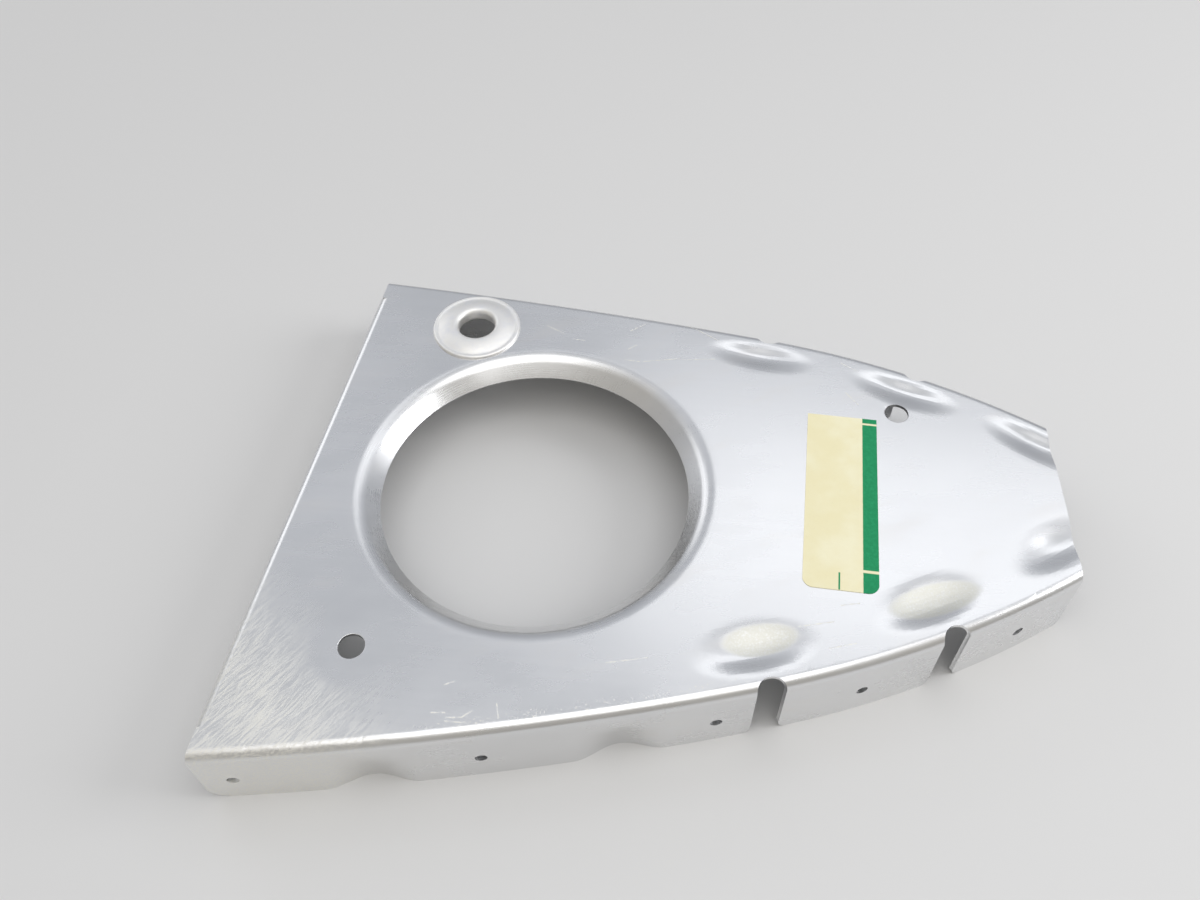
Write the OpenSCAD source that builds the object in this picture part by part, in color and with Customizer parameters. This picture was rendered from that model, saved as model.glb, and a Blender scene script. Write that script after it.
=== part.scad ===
// Nose rib of a light aircraft wing: one formed sheet of aluminium that lies web up on its flanges,
// with a pressed-in eyelet and a blank paper label. Millimetres, +X from the spar face to the nose.

/* [Sheet] */
// Thickness of the sheet
sheet_t = 0.8; // [0.6:0.1:1.2]
// Outside radius of the flange bends
bend_r = 2.4; // [2:0.1:3]
// Height of the flanges, from the free edge to the face of the web
flange_h = 19; // [16:0.5:24]

/* [Outline, measured from the spar face and the centre of the lightening hole] */
// Chord, from the spar face to the near end of the nose edge
rib_l = 171.5; // [168:0.5:176]
// Far edge at the spar
far_y = 59.4; // [58:0.2:62]
// Downward slope of the far edge at the spar, degrees
far_slope = 0.8; // [0:0.1:1.6]
// Radius of the far edge behind its first notch
far_r = 1250; // [1000:10:1600]
// Near edge at the spar
near_y = 75; // [73:0.2:77]
// Upward slope of the near edge at the spar, degrees
near_slope = 12.4; // [11.6:0.1:13]
// Radius of the near edge behind its first notch
near_r = 766; // [650:10:1000]
// Far end of the nose edge
nose_far_y = 35.5; // [33:0.2:38]
// Near end of the nose edge
nose_near_y = 6.9; // [4:0.2:9]
// How far the nose edge leans back at its far end
nose_rake = 4.4; // [0:0.2:8]
// Width left open between the spar flange and the other two, at the corners
corner_gap = 7; // [6:0.2:8]

/* [Relief notches] */
// Width of a notch
notch_w = 6.2; // [4:0.1:8]
// How far a notch reaches into the web, past the bend
notch_past = 0.2; // [0.1:0.1:1]
// Radius of the flange corners beside a notch
notch_foot_r = 2; // [1:0.1:3]
// First notch of the near edge
near_notch_1 = 109.3; // [106:0.1:112]
// Second notch of the near edge
near_notch_2 = 145.4; // [142:0.1:148]
// First notch of the far edge
far_notch_1 = 101.7; // [99:0.1:105]
// Second notch of the far edge
far_notch_2 = 137.9; // [135:0.1:141]

/* [Flutes that take up the slack of the curved flanges] */
// Width of a flute at the free edge
flute_w = 20; // [14:0.5:24]
// Depth of a flute at the free edge
flute_d = 2.5; // [1:0.1:3.5]
// First flute of both edges
flute_1 = 32.6; // [28:0.1:36]
// Second flute of both edges
flute_2 = 80.8; // [77:0.1:84]

/* [Beads pressed in the web beside the notches] */
// Width of the beads of the near edge
near_bead_w = 12; // [9:0.5:13]
// Width of the beads of the far edge
far_bead_w = 9; // [8:0.5:9]
// Length of a bead
bead_l = 26; // [20:0.5:30]
// Depth of a bead, as a share of its width
bead_share = 0.1; // [0.06:0.01:0.14]

/* [Lightening hole] */
// Centre of the hole, from the spar face
hole_x = 52.6; // [51:0.2:55]
// Diameter of the hole at its flared lip
hole_d = 70; // [60:0.5:72]
// Drop of the flared lip
flare_drop = 4.1; // [3:0.1:6]
// Angle of the flare
flare_a = 45; // [35:1:60]
// Radius of the flare's bend, on the web's face
flare_r = 5; // [3:0.1:6]

/* [Drilled holes] */
// Diameter of the two tooling holes
tool_d = 5.5; // [4:0.1:7]
// Diameter of the rivet pilot holes
rivet_d = 2.5; // [2:0.1:4]
// Height of the rivet holes above the free edge
rivet_z = 8; // [6:0.2:10]
// Pitch of the rivet holes in the spar flange
spar_pitch = 34; // [28:0.5:36]

/* [Eyelet] */
// Outside diameter of the eyelet
eyelet_d = 22.2; // [20:0.1:23]
// Bore of the eyelet
eyelet_bore = 9.2; // [8:0.1:11]
// Thickness of the eyelet's metal
eyelet_t = 0.6; // [0.4:0.05:0.8]
// Rise of the eyelet above the web
eyelet_rise = 1.6; // [1.2:0.1:2.2]

/* [Paper label] */
// Width of the label
label_w = 15.9; // [12:0.1:18]
// Length of the label
label_l = 47.7; // [40:0.1:50]
// Thickness of the paper
label_t = 0.12; // [0.1:0.01:0.2]
// Radius of the two corners at its near end
label_r = 2.4; // [1:0.1:4]
// Turn of the label from the spar face, degrees
label_turn = 1.2; // [-2:0.1:2]

/* [Hidden] */
$fn = 64;

// Places in the plan, from the spar face and the centre of the lightening hole
near_rivets = [7.2, 54.2, 99.3, 128.1, 160.5];
far_rivets = [7.2, 54.2, 92, 120, 155];
near_tool = [24.9, -46.7];
far_tool = [133.1, 33];
eyelet_at = [28.2, 45.4];
label_at = [121, 6];

// z is measured from the middle of the web's thickness, up to its face and down to the free edges
top = sheet_t / 2;
low = top - flange_h;

// An edge is two tangent arcs that meet at its first notch. The near one is drawn as a far one, and mirrored
far = edge_arcs(far_y, far_slope, far_r, far_notch_1, [rib_l - nose_rake, nose_far_y]);
near = edge_arcs(near_y, near_slope, near_r, near_notch_1, [rib_l, nose_near_y]);
edges = [far, near];
rivets = [far_rivets, near_rivets];
notches = [[far_notch_1, far_notch_2], [near_notch_1, near_notch_2]];
bead_ws = [far_bead_w, near_bead_w];
nose_x = [rib_l - nose_rake, rib_l];

// Flanges start this far from the spar face, under the roll of the spar bend
end_x = 1.0;
// Corner radii of the flanges, at the spar and at the nose
spar_corner_r = 4.5;
nose_corner_r = 1.5;
// The strip of web that comes with each bend, and how far the web plate stays inside the outer face
strip_w = 6;
plate_in = 4;
// How far a notch reaches inside the flange's outer face
notch_reach = bend_r + notch_past;
// Ends of the spar flange
spar_y0 = corner_gap - near_y;
spar_y1 = far_y - corner_gap;
// Cuts cross the faces at a small angle, so a rounding is set this far past the edge it rounds
ease = 0.03;

// Flat left between the bend and a bead
bead_off = 0.7;
// The flare's straight side, and the radius where the web starts to bend
flare_side = (flare_drop - flare_r * (1 - cos(flare_a))) / sin(flare_a);
flare_out = hole_d / 2 + flare_r * sin(flare_a) + flare_side * cos(flare_a);
flare_lap = 1.2;
flare_steps = 9;

// The eyelet's bore, the roll over the web and the roll under it
bore_r = eyelet_bore / 2;
roll_r = 1.2;
roll_z = eyelet_rise - roll_r;
under_r = 1.5;
rim_r = 0.4;
rim_at = eyelet_d / 2 - rim_r;
crown_run = rim_at - bore_r - roll_r;
crown_fall = eyelet_rise - 0.45;
crown_r = (crown_run * crown_run + crown_fall * crown_fall) / (2 * crown_fall);
crown_a = asin(crown_run / crown_r);
// The web's hole for the eyelet's barrel
eyelet_hole_r = bore_r + eyelet_t + 0.25;

// The origin is on the ground at the middle of the outline
y_mid = (edge_y(far, end_x) - edge_y(near, end_x)) / 2;
module placed() translate([-rib_l / 2, -y_mid, -low]) children();

// Both arcs of an edge: [centre, radius] behind the notch, [centre, radius] ahead of it, and the notch
function edge_arcs(y0, slope, r, notch, nose) =
    let (c = [-r * sin(slope), y0 - r * cos(slope)],
         j = [notch, c.y + sqrt(r * r - (notch - c.x) * (notch - c.x))],
         inward = (c - j) / r,
         v = nose - j,
         r2 = round(50 * (v * v) / (v * inward)) / 100)
    [[c, r], [j + r2 * inward, r2], notch];
function arc_at(edge, x) = x < edge[2] ? edge[0] : edge[1];
function arc_angle(arc, x) = acos((x - arc[0].x) / arc[1]);
function inset(edge, x, d) =
    let (arc = arc_at(edge, x), a = arc_angle(arc, x))
    arc[0] + (arc[1] - d) * [cos(a), sin(a)];
function edge_y(edge, x) = inset(edge, x, 0).y;

// Stands its children at the outer face of an edge: +X outward, +Y toward the spar
module at_edge(edge, x) {
    arc = arc_at(edge, x);
    translate(arc[0]) rotate([0, 0, arc_angle(arc, x)]) translate([arc[1], 0, 0]) children();
}

// Draws its children on both edges; $k is 0 on the far one and 1 on the near one
module each_edge() {
    for (k = [0, 1]) mirror([0, k, 0]) let ($k = k) children();
}

// A shape drawn in the plane of a flange and run through it: x along the edge, y up
module through_flange(depth = 8) {
    translate([-depth / 2, 0, low]) rotate([90, 0, 90]) linear_extrude(depth) children();
}

// Part of a ring between two directions, given as two points seen from its centre
module ring_part(r_out, r_in, p, q) {
    intersection() {
        difference() { circle(r_out); circle(r_in); }
        polygon([[0, 0], p, q]);
    }
}

// Section of a flange, its bend and a strip of the web, with the outer face at x
module edge_section(x) {
    translate([x - sheet_t, low]) square([sheet_t, flange_h - bend_r]);
    translate([x - strip_w, -top]) square([strip_w - bend_r, sheet_t]);
    translate([x - bend_r, top - bend_r]) intersection() {
        difference() { circle(bend_r); circle(bend_r - sheet_t); }
        square(bend_r);
    }
}

// A run of curved flange between two stations of one arc
module edge_run(arc, x0, x1) {
    a = arc_angle(arc, x1);
    translate(arc[0]) rotate([0, 0, a])
        rotate_extrude(angle = arc_angle(arc, x0) - a, $fn = 720) edge_section(arc[1], $fn = 48);
}

// What is left of a flute's depth where it ends under the bend
flute_left = 0.06;
// The waved side of a flute's section; w is where along the edge
function wave(w) = ease - flute_d * (1 + cos(360 * w / flute_w)) / 2;

// A flute narrows in depth up to the bend. back is the straight side behind the waved one
module flute(back) {
    steps = 24;
    translate([0, 0, low])
        linear_extrude(flange_h - bend_r - 0.5, scale = [flute_left, 1], slices = 1, segments = 0)
        polygon(concat([[back, flute_w / 2], [back, -flute_w / 2]],
            [for (i = [0 : steps]) let (w = flute_w * (i / steps - 0.5)) [wave(w), w]]));
}

// A notch seen from above, with its feet rounded into the free edge
module notch() {
    translate([notch_w / 2 - notch_reach, 0, low - 1]) {
        cylinder(d = notch_w, h = flange_h + 2);
        translate([0, ease - notch_w / 2, 0]) cube([12, notch_w - 2 * ease, flange_h + 2]);
    }
    foot = notch_w / 2 + notch_foot_r - ease;
    through_flange() difference() {
        translate([-foot, -1]) square([2 * foot, 1 + notch_foot_r - ease]);
        for (s = [-1, 1]) translate([s * foot, notch_foot_r - ease]) circle(notch_foot_r);
    }
}

// What is taken off a flange's lower corner at the drawing's origin, to leave it round
module corner(r) {
    difference() {
        translate([-2, -1]) square([2 + r - ease, 1 + r - ease]);
        translate([r - ease, r - ease]) circle(r);
    }
}

// The far or near flange from the spar to the nose, with its flutes. Its two arcs stop short of each other
// where the first notch will be, and a flat bridge joins their strips of web there
module curved_flange(edge, nose) {
    difference() {
        union() {
            edge_run(edge[0], -4, edge[2] - 1);
            edge_run(edge[1], edge[2] + 1, nose + 4);
            at_edge(edge, edge[2]) translate([-strip_w, -2.5, -top])
                cube([strip_w - bend_r - 0.05, 5, sheet_t]);
            for (x = [flute_1, flute_2]) at_edge(edge, x) translate([-sheet_t, 0, 0]) flute(0.45);
        }
        for (x = [flute_1, flute_2]) at_edge(edge, x) flute(1.5);
        translate([-20, 0, low - 1]) cube([20 + end_x, 2 * near_y, flange_h + 2]);
        translate([end_x, edge_y(edge, end_x), 0]) rotate([0, 0, 90]) mirror([0, 1, 0])
            through_flange(24) corner(spar_corner_r);
    }
}

// The straight flange that lies against the spar
module spar_flange() {
    difference() {
        translate([0, spar_y0, 0]) rotate([90, 0, 180]) linear_extrude(spar_y1 - spar_y0) edge_section(0);
        translate([0, spar_y0, 0]) through_flange() corner(spar_corner_r);
        translate([0, spar_y1, 0]) mirror([0, 1, 0]) through_flange() corner(spar_corner_r);
    }
}

// The flat of the web, which ends inside the strips of the three flanges
module web_plate() {
    function stations(edge, nose) = [end_x, edge[2] / 2, edge[2], (edge[2] + nose) / 2, nose + 3];
    function side(edge, nose) = [for (x = stations(edge, nose)) [x, edge_y(edge, x) - plate_in]];
    near_side = side(near, rib_l);
    translate([0, 0, -top]) linear_extrude(sheet_t) polygon(concat(
        side(far, rib_l - nose_rake),
        [for (i = [len(near_side) - 1 : -1 : 0]) [near_side[i].x, -near_side[i].y]],
        [[end_x, spar_y0], [plate_in, spar_y0], [plate_in, spar_y1], [end_x, spar_y1]]));
}

// A bar with round ends that lies along Y and sinks into the web's face by the depth of a bead w wide;
// grow is how much thicker than that it is
module bead_bar(w, grow) {
    depth = bead_share * w;
    r = round(50 * (w * w / 4 + depth * depth) / depth) / 100;
    straight = bead_l - w;
    translate([0, 0, top + r - depth]) rotate([90, 0, 0]) {
        cylinder(r = r + grow, h = straight, center = true);
        for (s = [-1, 1]) translate([0, 0, s * straight / 2]) sphere(r + grow);
    }
}

// What a bead adds under the web
module bead_back(w) {
    intersection() {
        bead_bar(w, sheet_t);
        translate([-20, -30, 0.1 - top - 5]) cube([40, 60, 5]);
    }
}

// Beads lie beside both notches and run out over the nose edge; $w is the width of each
module at_beads() {
    each_edge() for (x = [for (n = notches[$k]) n - 1, nose_x[$k] + 1]) let ($w = bead_ws[$k])
        at_edge(edges[$k], x) translate([-bend_r - bead_off - $w / 2, 0, 0]) children();
}

// The flared lip of the lightening hole
module flare() {
    function bend(r) = [for (i = [0 : flare_steps]) let (a = flare_a * i / flare_steps)
        [flare_out - r * sin(a), top - flare_r + r * cos(a)]];
    function lip(r) = let (end = bend(r)[flare_steps])
        end - flare_side * [cos(flare_a), sin(flare_a)];
    face = bend(flare_r);
    back = bend(flare_r - sheet_t);
    rotate_extrude($fn = 180) polygon(concat(
        [[flare_out + flare_lap, top]], face, [lip(flare_r), lip(flare_r - sheet_t)],
        [for (i = [flare_steps : -1 : 0]) back[i]], [[flare_out + flare_lap, -top]]));
}

// All the round holes drilled in the sheet
module drilled() {
    for (p = [near_tool, far_tool]) translate([p.x, p.y, -3]) cylinder(d = tool_d, h = 6);
    translate([eyelet_at.x, eyelet_at.y, -3]) cylinder(r = eyelet_hole_r, h = 6);
    each_edge() for (x = rivets[$k]) at_edge(edges[$k], x)
        translate([-4, 0, low + rivet_z]) rotate([0, 90, 0]) cylinder(d = rivet_d, h = 8);
    for (i = [-1.5 : 1.5]) translate([-4, y_mid + i * spar_pitch, low + rivet_z])
        rotate([0, 90, 0]) cylinder(d = rivet_d, h = 8);
}

// Everything ahead of the nose edge, with the flange corners there rounded off
module nose_cut() {
    lean = atan2(nose_rake, nose_far_y + nose_near_y);
    translate([rib_l, -nose_near_y, low - 1]) rotate([0, 0, lean]) translate([0, -40, 0])
        cube([40, nose_far_y + nose_near_y + 80, flange_h + 3]);
    each_edge() at_edge(edges[$k], nose_x[$k]) through_flange(12) corner(nose_corner_r);
}

module rib_sheet() {
    color("gainsboro") placed() difference() {
        union() {
            difference() {
                union() {
                    web_plate();
                    spar_flange();
                    each_edge() curved_flange(edges[$k], nose_x[$k]);
                }
                translate([hole_x, 0, -2]) cylinder(r = flare_out + 0.4, h = 4, $fn = 180);
            }
            translate([hole_x, 0, 0]) flare();
            at_beads() bead_back($w);
        }
        at_beads() bead_bar($w, 0);
        drilled();
        nose_cut();
        each_edge() for (x = notches[$k]) at_edge(edges[$k], x) notch();
    }
}

// A thin tube rolled over the web's face into a crowned collar, and rolled over again beneath it
module eyelet() {
    color("silver") placed() translate([eyelet_at.x, eyelet_at.y, top]) rotate_extrude($fn = 120) {
        translate([bore_r, -sheet_t]) square([eyelet_t, roll_z + sheet_t]);
        translate([bore_r + roll_r, roll_z])
            ring_part(roll_r, roll_r - eyelet_t, [-2 * roll_r, 0], 2 * roll_r * [-1, 1]);
        translate([bore_r + roll_r, roll_z])
            ring_part(roll_r, roll_r - eyelet_t, 2 * roll_r * [-1, 1], [0, 2 * roll_r]);
        intersection() {
            translate([bore_r + roll_r, eyelet_rise - crown_r])
                ring_part(crown_r, crown_r - eyelet_t, [0, 2 * crown_r],
                    2 * crown_r * [sin(crown_a), cos(crown_a)]);
            square([eyelet_d, eyelet_rise + 1]);
        }
        translate([rim_at, 0]) intersection() {
            translate([0, rim_r * 0.6]) circle(rim_r);
            translate([-1, 0]) square(2);
        }
        translate([bore_r + under_r, -sheet_t]) intersection() {
            difference() { circle(under_r); circle(under_r - eyelet_t); }
            translate([-2 * under_r, -2 * under_r]) square([4 * under_r, 2 * under_r]);
        }
    }
}

// A blank strip of paper with its two near corners rounded
module paper_label() {
    color("lemonchiffon") placed() translate([label_at.x, label_at.y, top]) rotate([0, 0, label_turn])
        linear_extrude(label_t) difference() {
            square([label_w, label_l], center = true);
            for (k = [0, 1]) mirror([k, 0]) translate([-label_w / 2, -label_l / 2]) corner(label_r);
        }
}

rib_sheet();
eyelet();
paper_label();
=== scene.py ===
import bpy, bmesh, math
from mathutils import Matrix, Vector


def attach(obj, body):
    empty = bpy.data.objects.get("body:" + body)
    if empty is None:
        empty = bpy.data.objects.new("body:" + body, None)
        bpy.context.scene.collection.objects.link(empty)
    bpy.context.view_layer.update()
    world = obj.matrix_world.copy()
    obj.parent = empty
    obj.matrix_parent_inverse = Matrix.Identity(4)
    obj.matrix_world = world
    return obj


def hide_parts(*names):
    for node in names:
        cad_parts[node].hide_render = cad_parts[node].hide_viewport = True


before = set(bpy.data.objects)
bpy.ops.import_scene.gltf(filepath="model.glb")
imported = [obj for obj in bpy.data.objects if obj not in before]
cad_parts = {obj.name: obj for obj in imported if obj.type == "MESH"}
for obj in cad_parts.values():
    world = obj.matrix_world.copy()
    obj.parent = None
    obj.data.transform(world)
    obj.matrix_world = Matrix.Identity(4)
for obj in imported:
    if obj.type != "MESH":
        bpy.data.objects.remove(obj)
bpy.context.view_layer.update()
mm = 0.001
weld, snap = 1e-6, 1e-7    # metres
print("frame loaded:", sorted(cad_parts))

# places on the web, in the part's own millimetres
webFace = 19.0
lighteningHole = (-33.15, 7.698)
nearToolHole, farToolHole = (-60.85, -39.002), (47.35, 40.698)


class Wire:
    # a shader socket that takes part in sums
    def __init__(self, tree, socket):
        self.tree = tree
        self.socket = socket

    def node(self, kind, settings=None, sockets=None, out=0):
        made = self.tree.nodes.new(kind)
        for name, value in (settings or {}).items():
            if name == "stops":
                ramp = made.color_ramp
                while len(ramp.elements) < len(value):
                    ramp.elements.new(0.5)
                for element, (place, colour) in zip(ramp.elements, value):
                    element.position = place
                    element.color = colour
            else:
                setattr(made, name, value)
        for name, value in (sockets or {}).items():
            if isinstance(value, Wire):
                self.tree.links.new(value.socket, made.inputs[name])
            else:
                made.inputs[name].default_value = value
        return Wire(self.tree, made.outputs[out])

    def math(self, operation, *others):
        return self.node("ShaderNodeMath", {"operation": operation}, dict(enumerate((self, *others))))

    def __add__(self, other):
        return self.math("ADD", other)

    def __sub__(self, other):
        return self.math("SUBTRACT", other)

    def __rsub__(self, other):
        return self * -1.0 + other

    def __mul__(self, other):
        return self.math("MULTIPLY", other)

    def __pow__(self, other):
        return self.math("POWER", other)

    # sums and products are the same from both sides
    __radd__ = __add__
    __rmul__ = __mul__

    # smooth rise from 0 at low to 1 at high
    def rise(self, low, high):
        if low > high:
            return 1 - self.rise(high, low)
        return self.node("ShaderNodeMapRange", {"interpolation_type": "SMOOTHSTEP"},
                         {"Value": self, "From Min": low, "From Max": high})

    # 1 between low and high, with soft sides
    def band(self, low, high, soft):
        return self.rise(low - soft, low) * self.rise(high + soft, high)

    # coordinates from a place on the part, with x turned by an angle, then each axis stretched
    def turned(self, place=(0, 0, 0), turn=0.0, stretch=(1, 1, 1)):
        return self.node("ShaderNodeMapping", {"vector_type": "TEXTURE"},
                         {"Vector": self, "Location": place, "Rotation": (0, 0, turn),
                          "Scale": tuple(1 / s for s in stretch)})

    def noise(self, scale, detail, roughness):
        return self.node("ShaderNodeTexNoise", {}, {"Vector": self, "Scale": scale, "Detail": detail,
                                                    "Roughness": roughness})

    def parts(self):
        made = self.node("ShaderNodeSeparateXYZ", {}, {"Vector": self})
        return [Wire(self.tree, made.socket.node.outputs[i]) for i in range(3)]

    # colour a where this is 0, colour b where it is 1
    def blend(self, a, b):
        return self.node("ShaderNodeMix", {"data_type": "RGBA"}, {0: self, 6: a, 7: b}, out=2)

    def bump(self, strength, distance):
        return self.node("ShaderNodeBump", {},
                         {"Height": self, "Strength": strength, "Distance": distance})

    def feed(self, shader, name):
        self.tree.links.new(self.socket, shader.inputs[name])


# a new principled material: the material, its shader, and object coordinates in millimetres
def newFinish(name, **fixed):
    material = bpy.data.materials.new(name)
    material.use_nodes = True
    tree = material.node_tree
    shader = tree.nodes["Principled BSDF"]
    for socket, value in fixed.items():
        shader.inputs[socket.replace("_", " ")].default_value = value
    coords = tree.nodes.new("ShaderNodeTexCoord")
    start = Wire(tree, coords.outputs["Object"])
    place = start.node("ShaderNodeVectorMath", {"operation": "SCALE"}, {0: start, "Scale": 1 / mm})
    return material, shader, place


def grey(value, tint=(1.0, 1.0, 1.0)):
    return (value * tint[0], value * tint[1], value * tint[2], 1.0)


# the greatest of several masks
def greatest(masks):
    top = masks[0]
    for mask in masks[1:]:
        top = top.math("MAXIMUM", mask)
    return top


# how far the surface lies from an upright line through a place
def fromPlace(x, y, place):
    dx, dy = x - place[0], y - place[1]
    return (dx * dx + dy * dy) ** 0.5


# how far the surface lies from a straight scratch, seen from above
def fromScratch(x, y, ends):
    (x0, y0), (x1, y1) = ends
    long = math.hypot(x1 - x0, y1 - y0)
    ux, uy = (x1 - x0) / long, (y1 - y0) / long
    along = ((x - x0) * ux + (y - y0) * uy).math("MAXIMUM", 0.0).math("MINIMUM", long)
    return fromPlace(x, y, (along * ux + x0, along * uy + y0))


# the curves that the far and near flanges follow, from the spar face and the middle of the lightening hole
flangeCurves = {
    "far": {"side": 1, "atSpar": 59.4, "slope": 0.8, "radius": 1250.0,
            "notch": 101.7, "nose": (167.1, 35.5)},
    "near": {"side": -1, "atSpar": 75.0, "slope": 12.4, "radius": 766.0,
             "notch": 109.3, "nose": (171.5, 6.9)},
}
toPart = Vector((-85.75, lighteningHole[1]))


# arc centre, radius and direction at a station x of a flange, in the part's millimetres
def curveAt(name, x):
    c = flangeCurves[name]
    slope = math.radians(c["slope"])
    centre = Vector((-c["radius"] * math.sin(slope), c["atSpar"] - c["radius"] * math.cos(slope)))
    radius = c["radius"]
    if x >= c["notch"]:
        join = Vector((c["notch"], centre.y + math.sqrt(radius ** 2 - (c["notch"] - centre.x) ** 2)))
        inward = (centre - join) / radius
        reach = Vector(c["nose"]) - join
        radius = reach.dot(reach) / (2 * reach.dot(inward))
        centre = join + inward * radius
    out = Vector((x - centre.x, math.sqrt(radius ** 2 - (x - centre.x) ** 2))) / radius
    flip = Vector((1, c["side"]))
    return centre * flip + toPart, radius, out * flip


cladSheet = {
    "colour": 0.80, "tint": (0.985, 0.99, 1.0), "roughness": 0.27, "roughLimits": (0.16, 0.75),
    # the tone of handling smears, then the warm cream of the painted reflections in the near beads
    "handled": grey(0.78, (1.0, 0.97, 0.93)), "reflectedCream": (0.68, 0.67, 0.58, 1.0),
    "rubbed": (0.92, 0.905, 0.84, 1.0),
    # the scuffed corner: the way it faces, where it starts and is full, and the clean disc round its hole
    "cornerFacing": (0.64, 0.77), "cornerReach": (-66.0, -92.0), "cleanDisc": (6.6, 10.0),
    # direction of the rubs there, how far they are drawn out, and how fine they are
    "rubs": [(1.05, 0.05, 2.4), (0.86, 0.06, 2.9), (1.22, 0.07, 3.2)],
    # middle, direction, half length and half width of the painted reflections in the near beads
    "reflectionOvals": [((20.2, -24.0), 0.32, 7.75, 3.32), ((55.0, -9.0), 0.44, 10.0, 3.6)],
    # how far from its line a scratch ends and is full, and the two ends of each
    "scratchEdge": (0.20, 0.06),
    "scratches": [
        ((-41.0, -50.2), (-38.5, -49.8)), ((-38.0, -50.8), (-35.0, -50.2)),
        ((-35.0, -50.2), (-33.4, -48.6)), ((-38.0, -51.5), (-34.0, -51.2)),
        ((-34.3, -51.0), (-35.8, -52.9)), ((-29.0, -46.4), (-28.0, -49.2)),
        ((-40.0, -44.1), (-38.2, -43.1)), ((-9.5, -34.3), (-1.6, -31.9)),
        ((27.6, -20.0), (34.6, -17.8)), ((34.0, -24.0), (39.2, -22.0)),
        ((36.0, -13.7), (39.7, -12.6)), ((35.4, 45.4), (38.4, 42.0)),
        ((34.0, 55.0), (38.2, 52.8)), ((-40.0, 56.6), (-35.2, 54.5)),
        ((-32.7, 52.9), (-29.6, 52.9)), ((-18.7, 58.0), (-15.4, 60.9)),
        ((-18.6, 51.4), (-16.4, 53.3)), ((-18.6, 47.9), (-15.0, 47.8)),
        ((-14.0, 48.0), (-5.4, 50.3)), ((-4.5, 50.1), (3.2, 51.5)),
        ((-5.0, 62.5), (3.4, 58.1)),
    ],
}


def makeCladSheet():
    s = cladSheet
    material, shader, place = newFinish("cladSheet", Metallic=1.0, IOR=1.45)
    x, y, z = place.parts()

    # faint rolling grain along the chord, blotches and smears from handling
    grain = place.turned(turn=0.06, stretch=(0.03, 1.0, 1.0)).noise(0.7, 2.0, 0.5)
    blotch = place.noise(0.035, 3.0, 0.55)
    smear = place.turned(turn=0.5, stretch=(0.35, 1.0, 1.0)).noise(0.11, 4.0, 0.6)
    speckle = place.noise(2.4, 3.0, 0.7)

    # scuffed corner at the spar's near end, with a clean disc round the tool hole
    facingX, facingY = s["cornerFacing"]
    corner = (x * facingX + y * facingY + smear * 16.0 - 8.0).rise(*s["cornerReach"])
    corner = corner * (fromPlace(x, y, nearToolHole) + smear * 4.0 - 2.0).rise(*s["cleanDisc"])
    strokes = []
    for turn, stretch, scale in s["rubs"]:
        stroke = place.turned(turn=turn, stretch=(stretch, 1.0, 1.0)).noise(scale, 3.0, 0.60)
        strokes.append(stroke.rise(0.49, 0.66))
    scuff = corner * greatest(strokes)

    # single bright scratches, and specks where the near bend has rubbed
    waver = (speckle - 0.5) * 0.25
    lines = [(fromScratch(x, y, ends) + waver).rise(*s["scratchEdge"]) for ends in s["scratches"]]
    marks = greatest(lines) * (place.noise(0.9, 3.0, 0.7).rise(0.38, 0.60) * 0.75 + 0.15)
    centre, radius, _ = curveAt("near", 60.0)
    inward = radius - fromPlace(x, y, centre)
    specks = inward.band(2.2, 3.2, 1.2) * x.band(-40.0, 12.0, 14.0) * speckle.rise(0.60, 0.70)
    marks = marks.math("MAXIMUM", specks) * z.rise(webFace - 1.2, webFace - 0.6)

    # turning marks round the flare
    r = fromPlace(x, y, lighteningHole)
    flare = r.rise(42.5, 40.5) * z.rise(12.0, 13.5)
    rings = (r * 9.0 + z * 7.0 + smear * 1.5).math("SINE") * 0.5 + 0.5
    rings = rings * flare * blotch.rise(0.30, 0.62)

    # painted reflection: a faint warm matt oval in each of the two near beads, standing in for the light they
    # reflect, made rougher and grainy there
    ovals = []
    for (px, py), turn, long, wide in s["reflectionOvals"]:
        ex, ey, _ = place.turned(place=(px, py, 0), turn=turn, stretch=(1 / long, 1 / wide, 1)).parts()
        ovals.append((ex * ex + ey * ey + speckle * 0.7 - 0.35).rise(1.25, 0.75))
    paintedReflection = greatest(ovals) * z.rise(webFace - 2.0, webFace - 1.7) * speckle.rise(0.20, 0.55)

    bright = (blotch - 0.5) * 0.08 + (grain - 0.5) * 0.03 + (smear - 0.5) * 0.06 + s["colour"]
    base = bright.node("ShaderNodeCombineColor", {}, {i: bright * share for i, share in enumerate(s["tint"])})
    base = (smear.rise(0.52, 0.72) * 0.25).blend(base, s["handled"])
    # painted reflection: the warm oval tone laid into the near beads
    base = (paintedReflection * 0.65).blend(base, s["reflectedCream"])
    base = (scuff * 0.55 + corner * 0.15).math("MAXIMUM", marks).blend(base, s["rubbed"])
    base.feed(shader, "Base Color")

    least, most = s["roughLimits"]
    rough = (s["roughness"] + (grain - 0.5) * 0.05 + (blotch - 0.5) * 0.12 + (smear - 0.5) * 0.10
             + scuff * 0.30 + corner * 0.06 + marks * 0.40 + paintedReflection * 0.22 + rings * 0.06)
    rough.math("MAXIMUM", least).math("MINIMUM", most).feed(shader, "Roughness")

    height = scuff * 0.6 - marks + rings * 0.1 + paintedReflection * speckle * 0.8
    height.bump(0.16, 0.06 * mm).feed(shader, "Normal")
    return material


eyeletFinish = {
    "bright": grey(0.96, (1.0, 0.99, 0.965)), "dull": grey(0.91, (0.99, 0.99, 1.0)), "roughness": 0.48,
}


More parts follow.
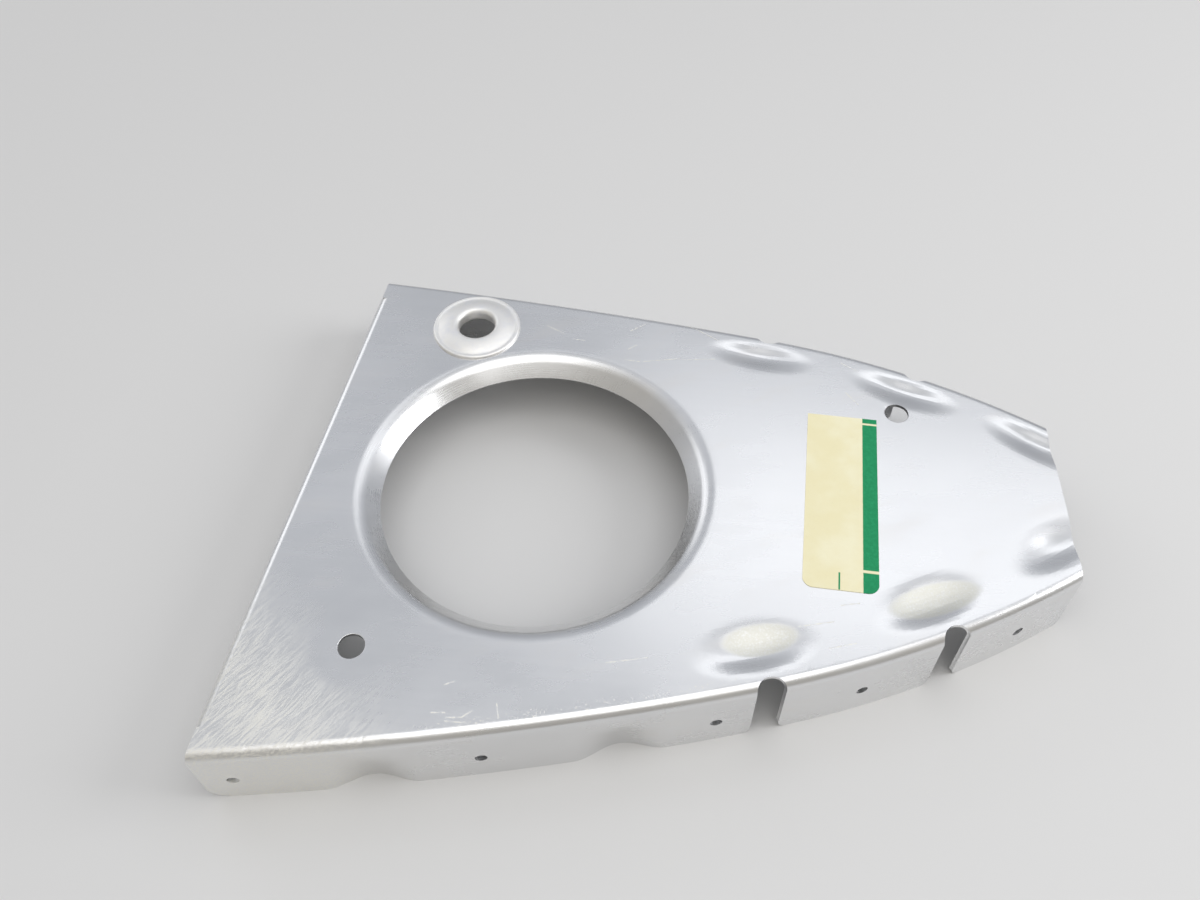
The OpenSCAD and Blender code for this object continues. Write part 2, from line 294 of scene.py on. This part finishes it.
def makeEyeletFinish():
    f = eyeletFinish
    material, shader, place = newFinish("eyeletFinish", Metallic=1.0)
    x, y, _ = place.parts()
    spun = (fromPlace(x, y, eyeletRing["middle"]) * 14.0).math("SINE") * 0.5 + 0.5
    cloud = place.noise(0.35, 3.0, 0.6)
    grit = place.noise(3.2, 3.0, 0.65)
    cloud.rise(0.40, 0.75).blend(f["bright"], f["dull"]).feed(shader, "Base Color")
    (f["roughness"] + (cloud - 0.5) * 0.2 + spun * 0.06 + (grit - 0.5) * 0.12).feed(shader, "Roughness")
    (spun * 0.3 + grit * 0.6).bump(0.20, 0.05 * mm).feed(shader, "Normal")
    return material


labelPaper = {
    "middle": (35.25, 13.698), "turn": math.radians(1.2), "halfWide": 7.95, "band": 3.3,
    # bare lines across the green band: place along the label, then where each is bare and where it ends
    "bars": [(22.2, 0.20, 0.34), (-18.6, 0.26, 0.42)],
    "tickAcross": -0.3, "tickEnds": (-23.7, -19.6),
    "cream": ((0.88, 0.82, 0.54, 1.0), (0.92, 0.88, 0.64, 1.0)), "fibre": (0.70, 0.62, 0.42, 1.0),
    "green": ((0.010, 0.27, 0.105, 1.0), (0.02, 0.34, 0.14, 1.0)), "roughness": 0.72,
}


def makeLabelPaper():
    p = labelPaper
    material, shader, place = newFinish("labelPaper", Specular_IOR_Level=0.25)
    u, v, _ = place.turned(place=(*p["middle"], 0), turn=p["turn"]).parts()
    fibre = place.noise(1.6, 5.0, 0.7)
    cloud = place.noise(0.09, 3.0, 0.6)
    crease = place.turned(turn=0.9, stretch=(0.10, 1.0, 1.0)).noise(0.22, 3.0, 0.6)

    edge = p["halfWide"] - p["band"]
    band = (u + (fibre - 0.5) * 0.14).rise(edge - 0.06, edge + 0.06)
    for along, bare, end in p["bars"]:
        band = band * (v - along).math("ABSOLUTE").rise(bare, end)
    tick = (u - p["tickAcross"]).math("ABSOLUTE").rise(0.22, 0.14) * v.band(*p["tickEnds"], 0.15)
    ink = band.math("MAXIMUM", tick)

    paper = cloud.rise(0.35, 0.70).blend(*p["cream"])
    paper = (fibre.rise(0.55, 0.80) * 0.25).blend(paper, p["fibre"])
    green = fibre.rise(0.40, 0.75).blend(*p["green"])
    ink.blend(paper, green).feed(shader, "Base Color")
    (p["roughness"] - ink * 0.14 + (fibre - 0.5) * 0.2).feed(shader, "Roughness")
    (fibre * 0.5 + crease * 2.0).bump(0.35, 0.12 * mm).feed(shader, "Normal")
    return material


ribSkin = {
    "sheet": 0.8, "crease": 38.0, "floorSlack": 0.02,
    # middle and reach of each round rim whose edges are eased, and by how much
    "rims": [(nearToolHole, 2.8), (farToolHole, 2.8), (lighteningHole, 36.55)], "rimEase": 0.14,
    "bend": 2.4, "bendReach": (2.0, 170.0), "bendStep": 2.5, "bendTurn": 9.0, "bendSlack": 0.06,
    # flange, station, depth and width of each bead
    "beads": [("far", 100.7, 0.9, 9.0), ("far", 136.9, 0.9, 9.0), ("far", 168.1, 0.9, 9.0),
              ("near", 108.3, 1.25, 12.0), ("near", 144.4, 1.25, 12.0), ("near", 172.5, 1.25, 12.0)],
    "beadLong": 26.0, "beadFade": 2.0, "beadStep": 0.9,
    # shares of a bead's width on its easy and steep sides, and its distance from the bend
    "beadEasy": 0.68, "beadSteep": 0.50, "beadGap": 0.15,
    # the solid's own plain dish: its distance from the bend, and its depth as a share of its width
    "dishGap": 0.7, "dishDeep": 0.1,
    "flutes": [("far", 32.6), ("far", 80.8), ("near", 32.6), ("near", 80.8)],
    "fluteWide": 20.0, "fluteDeep": 2.5, "fluteHigh": 15.6, "fluteEase": 1.15, "fluteStep": 1.0,
    "fluteLevels": (1.0, 16.4, 1.1),
    # the solid's own straight flute: the height it tapers over, and the share of its depth lost there
    "taperHigh": 16.1, "taperLoss": 0.94,
}


# turns a bmesh into a piece that rides on the rib, smooth apart from edges sharper than its crease angle
def makePiece(bm, name, finish, crease):
    for face in bm.faces:
        face.smooth = True
    for edge in bm.edges:
        edge.smooth = len(edge.link_faces) == 2 and edge.calc_face_angle(0) < math.radians(crease)
    mesh = bpy.data.meshes.new(name)
    bm.to_mesh(mesh)
    bm.free()
    mesh.materials.append(finish)
    piece = bpy.data.objects.new(name, mesh)
    bpy.context.scene.collection.objects.link(piece)
    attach(piece, "root")
    print(name, "has", len(mesh.polygons), "faces")
    return piece


# cuts the given faces along a row of parallel planes, and gives back the faces that come of it
def rule(bm, faces, place, normal, steps):
    for step in steps:
        geom = list({v for f in faces for v in f.verts}) + list({e for f in faces for e in f.edges}) + faces
        cut = bmesh.ops.bisect_plane(bm, geom=geom, dist=snap, plane_co=place + normal * (step * mm),
                                     plane_no=normal)
        faces = [g for g in cut["geom"] if isinstance(g, bmesh.types.BMFace)]
    return faces


def spread(low, high, step):
    count = max(1, round((high - low) / step))
    return [low + (high - low) * i / count for i in range(count + 1)]


# how far a point lies inside the outer face of a flange, and below the face of the web
def fromBend(name, place):
    x, y, z = place / mm
    centre, radius, _ = curveAt(name, x - toPart.x)
    return radius - (Vector((x, y)) - centre).length, webFace - z


# depth of the solid's plain round-ended dish at a point beside its middle
def bowl(n, w, long, wide, deep):
    r = (wide * wide / 4 + deep * deep) / (2 * deep)
    away = math.hypot(n, max(0.0, abs(w) - long / 2))
    return max(0.0, math.sqrt(max(0.0, r * r - away * away)) - (r - deep))


# one clean face under each stretch of flange, in place of the triangles that overlap there
def closeFreeEdges(bm):
    def onFloor(part):
        return all(v.co.z < ribSkin["floorSlack"] * mm for v in part.verts)
    bmesh.ops.delete(bm, geom=[f for f in bm.faces if onFloor(f)], context="FACES_KEEP_BOUNDARY")
    bmesh.ops.delete(bm, geom=[e for e in bm.edges if not e.link_faces], context="EDGES")
    loops = [e for e in bm.edges if e.is_boundary and onFloor(e)]
    made = bmesh.ops.holes_fill(bm, edges=loops, sides=0)["faces"]
    print("free edges closed:", len(made), "faces")


# breaks the sharp edges of the round holes in the web
def easeRims(bm):
    def onRim(edge):
        if edge.calc_face_angle(0) < math.radians(ribSkin["crease"]):
            return False
        return any(all((v.co.xy / mm - Vector(middle)).length < reach for v in edge.verts)
                   for middle, reach in ribSkin["rims"])
    edges = [e for e in bm.edges if onRim(e)]
    bmesh.ops.bevel(bm, geom=edges, offset=ribSkin["rimEase"] * mm, offset_type="OFFSET", segments=3,
                    profile=0.5, affect="EDGES", clamp_overlap=True, material=-1)
    print("rims eased:", len(edges), "edges")


# a bend as a regular round sheet, cut across at stations along it and at even angles round it
def roundBend(bm, name):
    k = ribSkin
    bend, slack = k["bend"], k["bendSlack"]
    for radius in (bend, bend - k["sheet"]):
        def onBend(vert):
            n, h = fromBend(name, vert.co)
            return (-slack < n < bend + slack and -slack < h < bend + slack
                    and abs(math.hypot(bend - n, bend - h) - radius) < slack)
        on = {v for v in bm.verts if onBend(v)}
        faces = [f for f in bm.faces if all(v in on for v in f.verts)]
        for x in spread(*k["bendReach"], k["bendStep"]):
            centre, arc, out = curveAt(name, x)
            along = Vector((-out.y, out.x, 0))
            faces = rule(bm, faces, (centre + out * arc).to_3d() * mm, along, [0.0])
        angles = [math.radians(a) for a in spread(0, 90, k["bendTurn"])[1:-1]]
        levels = [webFace - bend + radius * math.cos(a) for a in angles]
        faces = rule(bm, faces, Vector((0, 0, 0)), Vector((0, 0, 1)), levels)
        for v in {v for f in faces for v in f.verts}:
            n, h = fromBend(name, v.co)
            across, up = bend - n, bend - h
            pull = radius / math.hypot(across, up)
            centre, arc, _ = curveAt(name, v.co.x / mm - toPart.x)
            spoke = (v.co.xy / mm - centre).normalized()
            flat = spoke * (arc - bend + across * pull) + centre
            v.co = Vector((flat.x, flat.y, webFace - bend + up * pull)) * mm


# a pressed bead with soft sides: steep towards the bend, easy towards the web
def softenBead(bm, name, x, deep, wide):
    k = ribSkin
    centre, radius, out = curveAt(name, x)
    inner, outer = wide * k["beadEasy"], wide * k["beadSteep"]
    inset = k["bend"] + k["beadGap"] + outer
    halfLong = k["beadLong"] / 2 + k["beadFade"]
    middle = (centre + out * radius - out * inset).to_3d() * mm
    across, along = out.to_3d(), Vector((-out.y, out.x, 0))
    def local(v):
        d = (v.co - middle) / mm
        return d.dot(across), d.dot(along)
    def inside(face):
        if abs(face.normal.z) < 0.5 or face.calc_center_median().z < (webFace - 3.0) * mm:
            return False
        n, w = zip(*[local(v) for v in face.verts])
        return (min(n) < outer + 0.6 and max(n) > -inner - 0.6
                and min(w) < halfLong + 0.6 and max(w) > -halfLong - 0.6)
    def within(face):
        spots = [local(v) for v in face.verts]
        return all(-inner - 0.52 < n < outer + 0.12 and abs(w) < halfLong + 0.52 for n, w in spots)

    faces = [f for f in bm.faces if inside(f)]
    faces = rule(bm, faces, middle, across, [outer + 0.1, -inner - 0.5])
    faces = rule(bm, faces, middle, along, [halfLong + 0.5, -halfLong - 0.5])
    faces = [f for f in faces if within(f)]
    faces = rule(bm, faces, middle, across, spread(-inner, outer, k["beadStep"]))
    faces = rule(bm, faces, middle, along, spread(-halfLong, halfLong, k["beadStep"]))
    for v in {v for f in faces for v in f.verts}:
        if fromBend(name, v.co)[0] < k["bend"]:
            continue    # the bend keeps its round
        n, w = local(v)
        away = min(1.0, math.hypot(n / (outer if n > 0 else inner), w / halfLong))
        # which side of the sheet, from the dish that the solid has here
        fromDish = n - inset + k["bend"] + k["dishGap"] + wide / 2
        dish = bowl(fromDish, w, k["beadLong"] - wide, wide, wide * k["dishDeep"])
        top = v.co.z / mm > webFace - k["sheet"] / 2 - dish
        sink = deep * (1 - away ** 2) ** 3
        v.co.z = (webFace - (0 if top else k["sheet"]) - sink) * mm


# a flute that fades softly before it meets the bend
def softenFlute(bm, name, x):
    k = ribSkin
    centre, radius, out = curveAt(name, x)
    across, along = out.to_3d(), Vector((-out.y, out.x, 0))
    start = (centre + out * radius).to_3d() * mm
    half = k["fluteWide"] / 2
    def local(v):
        d = (v.co - start) / mm
        return d.dot(across), d.dot(along), v.co.z / mm
    def inside(face):
        if abs(face.normal.z) > 0.7:
            return False
        n, w, h = zip(*[local(v) for v in face.verts])
        return (min(n) > -6 and max(n) < 1.5 and min(w) < half + 0.6 and max(w) > -half - 0.6
                and max(h) < k["fluteLevels"][1] + 0.4)

    faces = [f for f in bm.faces if inside(f)]
    faces = rule(bm, faces, start, along, [half + 0.4, -half - 0.4])
    faces = [f for f in faces if all(abs(local(v)[1]) < half + 0.42 for v in f.verts)]
    faces = rule(bm, faces, start, along, spread(-half, half, k["fluteStep"]))
    faces = rule(bm, faces, Vector((0, 0, 0)), Vector((0, 0, 1)), spread(*k["fluteLevels"]))
    for v in {v for f in faces for v in f.verts}:
        _, w, h = local(v)
        wave = 0.5 * (1 + math.cos(math.pi * min(1.0, abs(w) / half)))
        # which side of the sheet, from the straight flute that the solid has here
        was = max(0.0, k["fluteDeep"] * wave - 0.03) * (1 - k["taperLoss"] * min(1.0, h / k["taperHigh"]))
        spoke = Vector((v.co.x / mm, v.co.y / mm)) - centre
        outside = spoke.length > radius - k["sheet"] / 2 - was
        fade = 0.5 * (1 + math.cos(math.pi * min(1.0, max(0.0, h / k["fluteHigh"]) ** k["fluteEase"])))
        reach = radius - (0 if outside else k["sheet"]) - k["fluteDeep"] * wave * fade
        spot = centre + spoke.normalized() * reach
        v.co.x, v.co.y = spot.x * mm, spot.y * mm


# the rib's own solid, welded, with its pressed shapes softened and its bends shaded as one sheet
def makeRibSkin(finish):
    bm = bmesh.new()
    bm.from_mesh(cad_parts["rib_sheet"].data)
    bmesh.ops.remove_doubles(bm, verts=bm.verts, dist=weld)
    closeFreeEdges(bm)
    easeRims(bm)
    for name in flangeCurves:
        roundBend(bm, name)
    print("bends rounded")
    for bead in ribSkin["beads"]:
        softenBead(bm, *bead)
    print("beads softened")
    for flute in ribSkin["flutes"]:
        softenFlute(bm, *flute)
    print("flutes softened")
    bmesh.ops.triangulate(bm, faces=[f for f in bm.faces if len(f.verts) > 4])
    bmesh.ops.dissolve_degenerate(bm, edges=bm.edges, dist=snap)
    skin = makePiece(bm, "ribSkin", finish, ribSkin["crease"])
    weigh = skin.modifiers.new("weigh", "WEIGHTED_NORMAL")
    weigh.keep_sharp = True
    weigh.weight = 80
    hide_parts("rib_sheet")


# the pressed eyelet: radius from its middle and height above the web's face
eyeletRing = {
    "middle": (-57.55, 53.098), "turns": 96, "crease": 60.0,
    "bore": 4.6, "metal": 0.6, "foot": -0.8, "rollHigh": 0.4, "roll": 1.2, "underRoll": 1.5,
    "crown": [(6.6, 1.56), (7.6, 1.36), (8.6, 1.04), (9.3, 0.74), (9.7, 0.55), (9.95, 0.51),
              (10.2, 0.60), (10.5, 0.70), (10.8, 0.64), (11.02, 0.44), (11.1, 0.2), (11.06, 0.0)],
    "beneath": [(10.3, 0.0), (9.4, 0.1), (8.4, 0.5), (7.4, 0.82), (6.4, 1.0)],
}


def arcPoints(middle, radius, first, last, steps):
    angles = [math.radians(first + (last - first) * i / steps) for i in range(steps + 1)]
    return [(middle[0] + radius * math.cos(a), middle[1] + radius * math.sin(a)) for a in angles]


def makeEyeletRing(finish):
    e = eyeletRing
    over = (e["bore"] + e["roll"], e["rollHigh"])
    under = (e["bore"] + e["underRoll"], e["foot"])
    outline = arcPoints(over, e["roll"], 180, 90, 8) + e["crown"] + e["beneath"]
    outline += arcPoints(over, e["roll"] - e["metal"], 90, 180, 6)
    outline += arcPoints(under, e["underRoll"] - e["metal"], 180, 360, 10)
    outline += arcPoints(under, e["underRoll"], 360, 180, 14)
    bm = bmesh.new()
    x, y = e["middle"]
    verts = [bm.verts.new(((x + r) * mm, y * mm, (webFace + h) * mm)) for r, h in outline]
    edges = [bm.edges.new(pair) for pair in zip(verts, verts[1:] + verts[:1])]
    bmesh.ops.spin(bm, geom=verts + edges, cent=Vector((x, y, 0)) * mm, axis=(0, 0, 1), dvec=(0, 0, 0),
                   angle=2 * math.pi, steps=e["turns"], use_merge=True)
    bmesh.ops.remove_doubles(bm, verts=bm.verts, dist=weld)
    bmesh.ops.recalc_face_normals(bm, faces=bm.faces)
    ring = makePiece(bm, "eyeletRing", finish, e["crease"])
    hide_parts("eyelet")


def dress(node, finish):
    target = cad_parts[node]
    target.data.materials.clear()
    target.data.materials.append(finish)


makeRibSkin(makeCladSheet())
makeEyeletRing(makeEyeletFinish())
dress("paper_label", makeLabelPaper())
print("finishes set")

cool, warm = (0.955, 0.985, 1.05), (1.04, 1.0, 0.93)
studio = {
    "floor": grey(0.72), "floorRoughness": 0.75, "reach": 3.0,
    # the sky's tone from the horizon to overhead, ahead of the camera and behind it
    "ahead": [(0.0, grey(0.36, cool)), (0.5, grey(0.50, cool)),
              (0.75, grey(0.60, cool)), (1.0, grey(0.58, cool))],
    "behind": [(0.0, grey(0.36, warm)), (0.5, grey(0.44, warm)),
               (0.8, grey(0.50, warm)), (1.0, grey(0.58, warm))],
    "lamps": [
        # name, place, aimed at, width, height, glow
        ("windowBox", (0.33, 0.66, 0.95), (0.33, 0.66, 0.0), 0.90, 0.40, 0.84),
        ("topBox", (0.08, -0.18, 0.62), (0.08, -0.10, 0.0), 0.60, 0.54, 1.20),
        ("rightBox", (0.80, 0.15, 0.50), (0.0, 0.0, 0.0), 0.45, 0.45, 4.5),
        ("leftBox", (-0.68, 0.45, 0.38), (0.0, 0.0, 0.0), 0.50, 0.40, 0.9),
    ],
}


def makeStudio():
    bm = bmesh.new()
    bmesh.ops.create_grid(bm, x_segments=2, y_segments=2, size=studio["reach"])
    mesh = bpy.data.meshes.new("studioFloor")
    bm.to_mesh(mesh)
    bm.free()
    material, _, _ = newFinish("studioFloor", Base_Color=studio["floor"], Roughness=studio["floorRoughness"])
    mesh.materials.append(material)
    floor = bpy.data.objects.new("studioFloor", mesh)
    bpy.context.scene.collection.objects.link(floor)

    for name, place, aim, width, height, glow in studio["lamps"]:
        lamp = bpy.data.lights.new(name, "AREA")
        lamp.shape = "RECTANGLE"
        lamp.size, lamp.size_y = width, height
        lamp.energy = glow * width * height * math.pi
        holder = bpy.data.objects.new(name, lamp)
        holder.location = place
        holder.rotation_euler = (Vector(aim) - Vector(place)).to_track_quat("-Z", "Y").to_euler()
        bpy.context.scene.collection.objects.link(holder)

    world = bpy.data.worlds.new("studioSky")
    bpy.context.scene.world = world
    world.use_nodes = True
    tree = world.node_tree
    coords = tree.nodes.new("ShaderNodeTexCoord")
    _, along, up = Wire(tree, coords.outputs["Generated"]).parts()
    ahead = up.node("ShaderNodeValToRGB", {"stops": studio["ahead"]}, {"Fac": up})
    behind = up.node("ShaderNodeValToRGB", {"stops": studio["behind"]}, {"Fac": up})
    along.rise(-0.5, 0.5).blend(behind, ahead).feed(tree.nodes["Background"], "Color")


# place in millimetres, and the camera's own directions
photoView = {
    "lens": 31.52, "sensor": 36.0, "clip": (0.01, 20.0), "place": (8.3, -129.8, 208.3),
    "ahead": (-0.1163, 0.6131, -0.7814), "right": (0.9855, 0.169, -0.014),
}


def makeCamera():
    view = bpy.data.cameras.new("photoView")
    view.lens = photoView["lens"]
    view.sensor_width = photoView["sensor"]
    view.clip_start, view.clip_end = photoView["clip"]
    holder = bpy.data.objects.new("photoView", view)
    ahead = Vector(photoView["ahead"]).normalized()
    right = Vector(photoView["right"])
    right = (right - ahead * right.dot(ahead)).normalized()
    turn = Matrix((right, right.cross(ahead), -ahead)).transposed().to_4x4()
    holder.matrix_world = Matrix.Translation(Vector(photoView["place"]) * mm) @ turn
    bpy.context.scene.collection.objects.link(holder)
    bpy.context.scene.camera = holder


makeStudio()
makeCamera()
bpy.context.scene.view_settings.view_transform = "Standard"
print("studio set")
